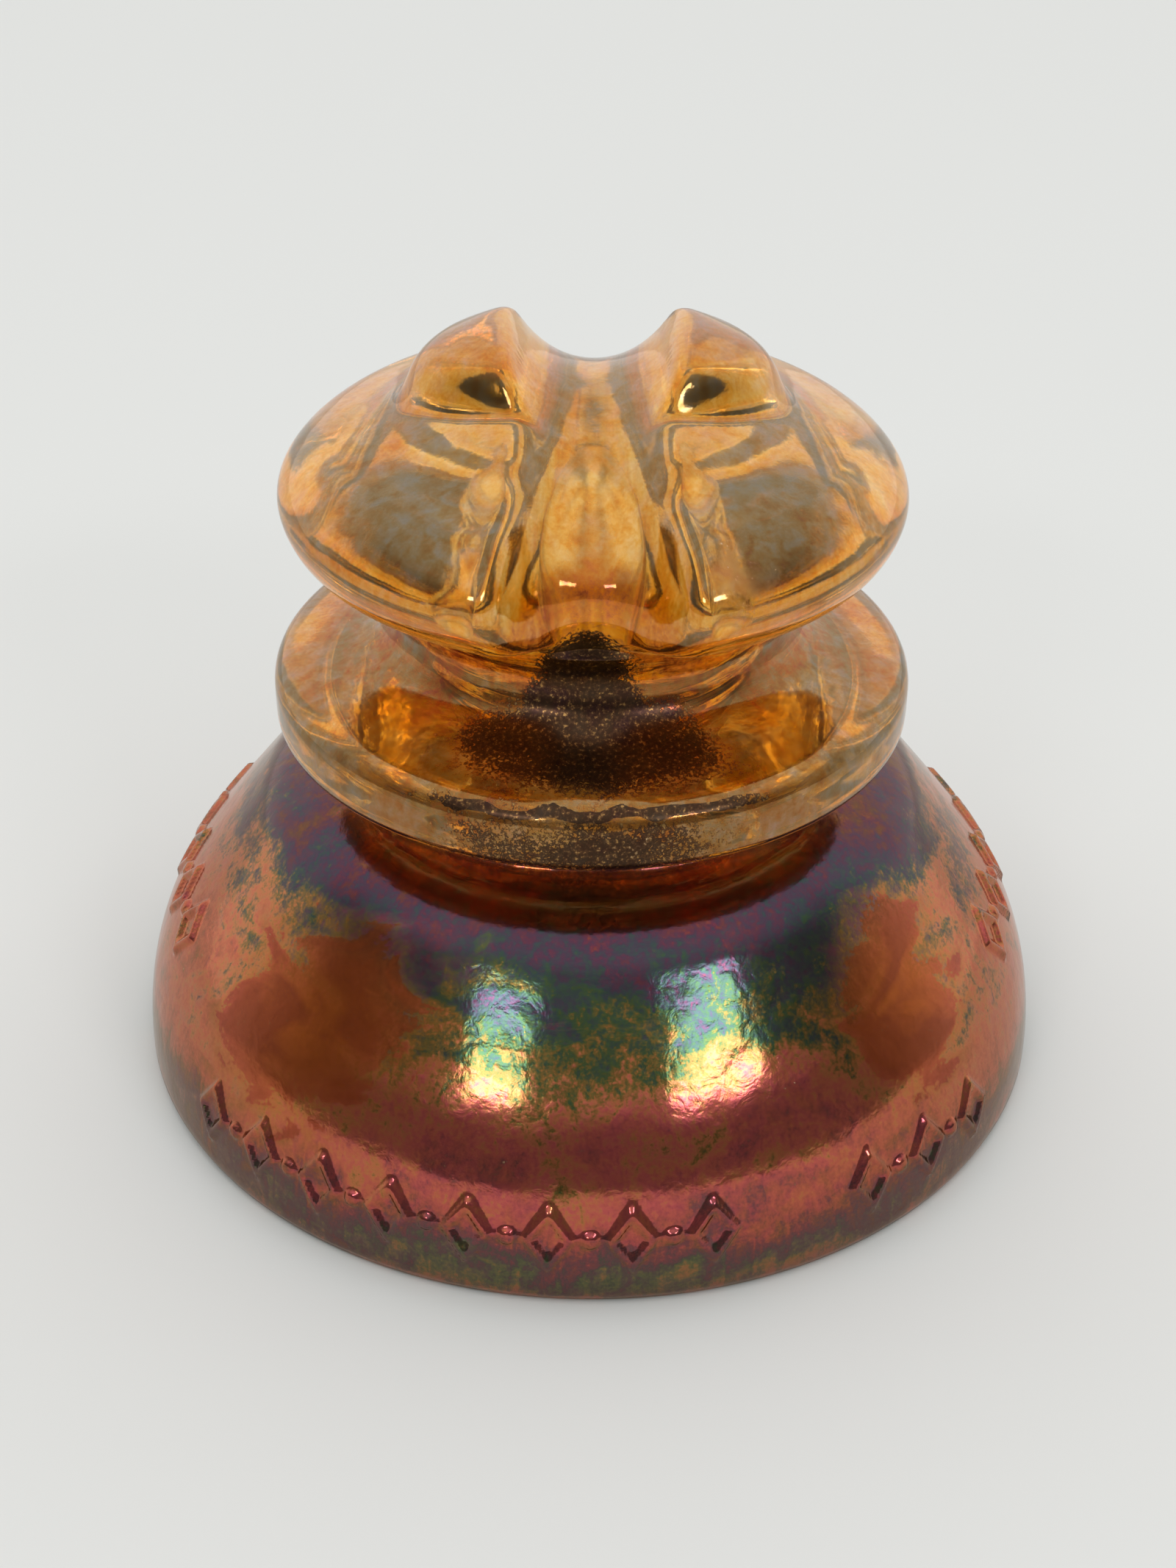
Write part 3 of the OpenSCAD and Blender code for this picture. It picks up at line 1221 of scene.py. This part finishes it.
@dataclass(frozen=True)
class BareGlass:
    """Clear borosilicate glass as the plunger left it.

    It has a faint straw tint and level chill wrinkles 2 mm apart, and it is frosted in the dome of the
    pinhole, where the plunger was coldest.
    """

    name: str = "bare_pressed_glass"
    ior: float = 1.47
    dome: tuple[float, float] = (64.0, 67.0)
    wrinkle_depth: float = 0.5
    polished: float = 0.06
    frosted: float = 0.3

    def build(self) -> bpy.types.Material:
        """Makes the material.

        Returns:
            The material.
        """
        material, tree = blank(self.name)
        place = add(tree, "ShaderNodeTexCoord", output="Object")
        level = add(tree, "ShaderNodeMapping", {"Vector": place, "Scale": (0.12 / MM, 0.12 / MM, 0.5 / MM)})
        wrinkles = add(tree, "ShaderNodeTexNoise", {"Vector": level, "Scale": 1.0, "Detail": 2.0})
        height = add(tree, "ShaderNodeSeparateXYZ", {"Vector": place}, "Z")
        low, high = self.dome
        in_dome = {"Value": height, "From Min": low * MM, "From Max": high * MM}
        in_dome |= {"To Min": self.polished, "To Max": self.frosted}
        relief = {"Height": wrinkles, "Strength": 1.0, "Distance": self.wrinkle_depth * MM}
        shader = add(
            tree,
            "ShaderNodeBsdfPrincipled",
            {
                "Base Color": linear("#FAF0DC"),
                "Roughness": add(tree, "ShaderNodeMapRange", in_dome),
                "IOR": self.ior,
                "Transmission Weight": 1.0,
                "Normal": add(tree, "ShaderNodeBump", relief),
            },
        )
        add(tree, "ShaderNodeOutputMaterial", {"Surface": shader})
        return material


# --------------------------------------------------------------------------------------------------
# The studio
# --------------------------------------------------------------------------------------------------


@dataclass(frozen=True)
class WhiteCloth:
    """Bleached cotton cloth over the table, pressed flat, so it is matt and even."""

    name: str = "white_cotton_cloth"

    def build(self) -> bpy.types.Material:
        """Makes the material.

        Returns:
            The material.
        """
        material, tree = blank(self.name)
        shader = add(tree, "ShaderNodeBsdfPrincipled", {"Base Color": linear("#E6E6E2"), "Roughness": 0.9})
        add(tree, "ShaderNodeOutputMaterial", {"Surface": shader})
        return material


@dataclass
class Studio:
    """A pale floor, a soft room with two windows behind the camera, and the camera."""

    distance: float = 310.3
    elevation: float = 32.57
    target_height: float = 34.83
    aside: float = -0.36
    roll: float = 0.39
    lens: float = 54.01
    floor_half: float = 4.0
    window_distance: float = 1.3
    highlight: Place = (0.0, -48.0, 27.0)
    front_glow: float = 0.22
    back_glow: float = 1.12

    def camera(self) -> None:
        """Sets up the camera at the level and angle of someone who looks at the insulator on a table."""
        data = bpy.data.cameras.new("camera")
        data.sensor_width = 36.0
        data.lens = self.lens
        data.clip_start = 0.01
        eye = bpy.data.objects.new("camera", data)
        up = math.radians(self.elevation)
        height = self.target_height + self.distance * math.sin(up)
        place = Vector((self.aside, -self.distance * math.cos(up), height))
        turn = Matrix.Rotation(math.pi / 2 - up, 4, "X") @ Matrix.Rotation(math.radians(self.roll), 4, "Z")
        eye.matrix_world = Matrix.Translation(place * MM) @ turn
        bpy.context.scene.collection.objects.link(eye)
        bpy.context.scene.camera = eye

    def floor(self) -> None:
        """A wide pale cloth-covered floor."""
        bm = bmesh.new()
        bmesh.ops.create_grid(bm, x_segments=1, y_segments=1, size=self.floor_half)
        mesh = bpy.data.meshes.new("floor")
        bm.to_mesh(mesh)
        bm.free()
        floor = bpy.data.objects.new("floor", mesh)
        bpy.context.scene.collection.objects.link(floor)
        mesh.materials.append(WhiteCloth().build())

    def world(self) -> None:
        """A pale room with a pale ceiling, dim on the camera's side."""
        world = bpy.data.worlds.new("room")
        world.use_nodes = True
        tree = world.node_tree
        tree.nodes.clear()
        way = add(tree, "ShaderNodeTexCoord", output="Generated")
        depth = add(tree, "ShaderNodeSeparateXYZ", {"Vector": way}, "Y")
        rise = add(tree, "ShaderNodeSeparateXYZ", {"Vector": way}, "Z")
        behind = {"Value": depth, "From Min": -0.3, "From Max": 0.4}
        behind = add(tree, "ShaderNodeMapRange", behind, interpolation_type="SMOOTHSTEP")
        above = {"Value": rise, "From Min": 0.35, "From Max": 0.9}
        above = add(tree, "ShaderNodeMapRange", above, interpolation_type="SMOOTHSTEP")
        pale = add(tree, "ShaderNodeMath", {0: behind, 1: above}, operation="MAXIMUM")
        glow = {"Value": pale, "To Min": self.front_glow, "To Max": self.back_glow}
        pale = add(tree, "ShaderNodeMapRange", glow)
        back = add(tree, "ShaderNodeBackground", {"Color": linear("#FCFDFE"), "Strength": pale})
        add(tree, "ShaderNodeOutputWorld", {"Surface": back})
        bpy.context.scene.world = world

    def window(
        self, name: str, bearing: float, rise: float, size: tuple[float, float], power: float
    ) -> None:
        """A window-like soft light behind the camera.

        Args:
            name: Name of the light.
            bearing: Degrees from straight in front of the insulator towards +X.
            rise: Degrees above the floor.
            size: Width and height, in metres.
            power: Power in watts.
        """
        data = bpy.data.lights.new(name, "AREA")
        data.shape = "RECTANGLE"
        data.size, data.size_y = size
        data.energy = power
        data.color = linear("#F6FAFF")[:3]
        light = bpy.data.objects.new(name, data)
        round_z, up = math.radians(bearing), math.radians(rise)
        out = math.cos(up)
        way = Vector((math.sin(round_z) * out, -math.cos(round_z) * out, math.sin(up)))
        light.location = Vector(self.highlight) * MM + way * self.window_distance
        light.rotation_euler = way.to_track_quat("Z", "Y").to_euler()
        bpy.context.scene.collection.objects.link(light)


# The raised bands: two along the front of the rim, one higher on each side, and one at the back.
BANDS = (
    MarkBand(height=9.5, start=-52, end=14.5),
    MarkBand(height=9.5, start=35, end=54),
    MarkBand(height=22, start=-112, end=-74),
    MarkBand(height=22, start=74, end=112),
    MarkBand(height=9.5, start=151.5, end=208.5),
)


def main() -> None:
    """Builds the insulator, dresses it and sets the camera, the floor and the lights."""
    logging.basicConfig(level=logging.INFO, format="%(message)s")
    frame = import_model()
    studio = Studio()
    studio.camera()
    studio.floor()
    studio.world()
    studio.window("window_left", -27, 34, (0.32, 0.12), 1.3)
    studio.window("window_right", 38, 34, (0.44, 0.14), 1.9)
    low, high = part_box(COATING_NODE)
    pinhole = next(m for m in frame["record"]["mounts"] if m["name"] == "pinhole")
    body = GlassBody(
        Skirt(rim_radius=(high.x - low.x) / 2 / MM),
        Necks(),
        Crown(),
        Inside(pinhole_radius=pinhole["dims"]["r_mm"]),
        BANDS,
    )
    piece = body.build("pressed_glass")
    piece.data.materials.append(LustreGlass().build())
    piece.data.materials.append(BareGlass().build())
    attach(piece, BODY)
    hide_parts(GLASS_NODE, COATING_NODE)
    triangles = sum(len(face.vertices) - 2 for face in piece.data.polygons)
    log.info("%s: %d faces, %d triangles", piece.name, len(piece.data.polygons), triangles)
    bpy.context.scene.view_settings.view_transform = "Standard"


if __name__ == "__main__":
    main()
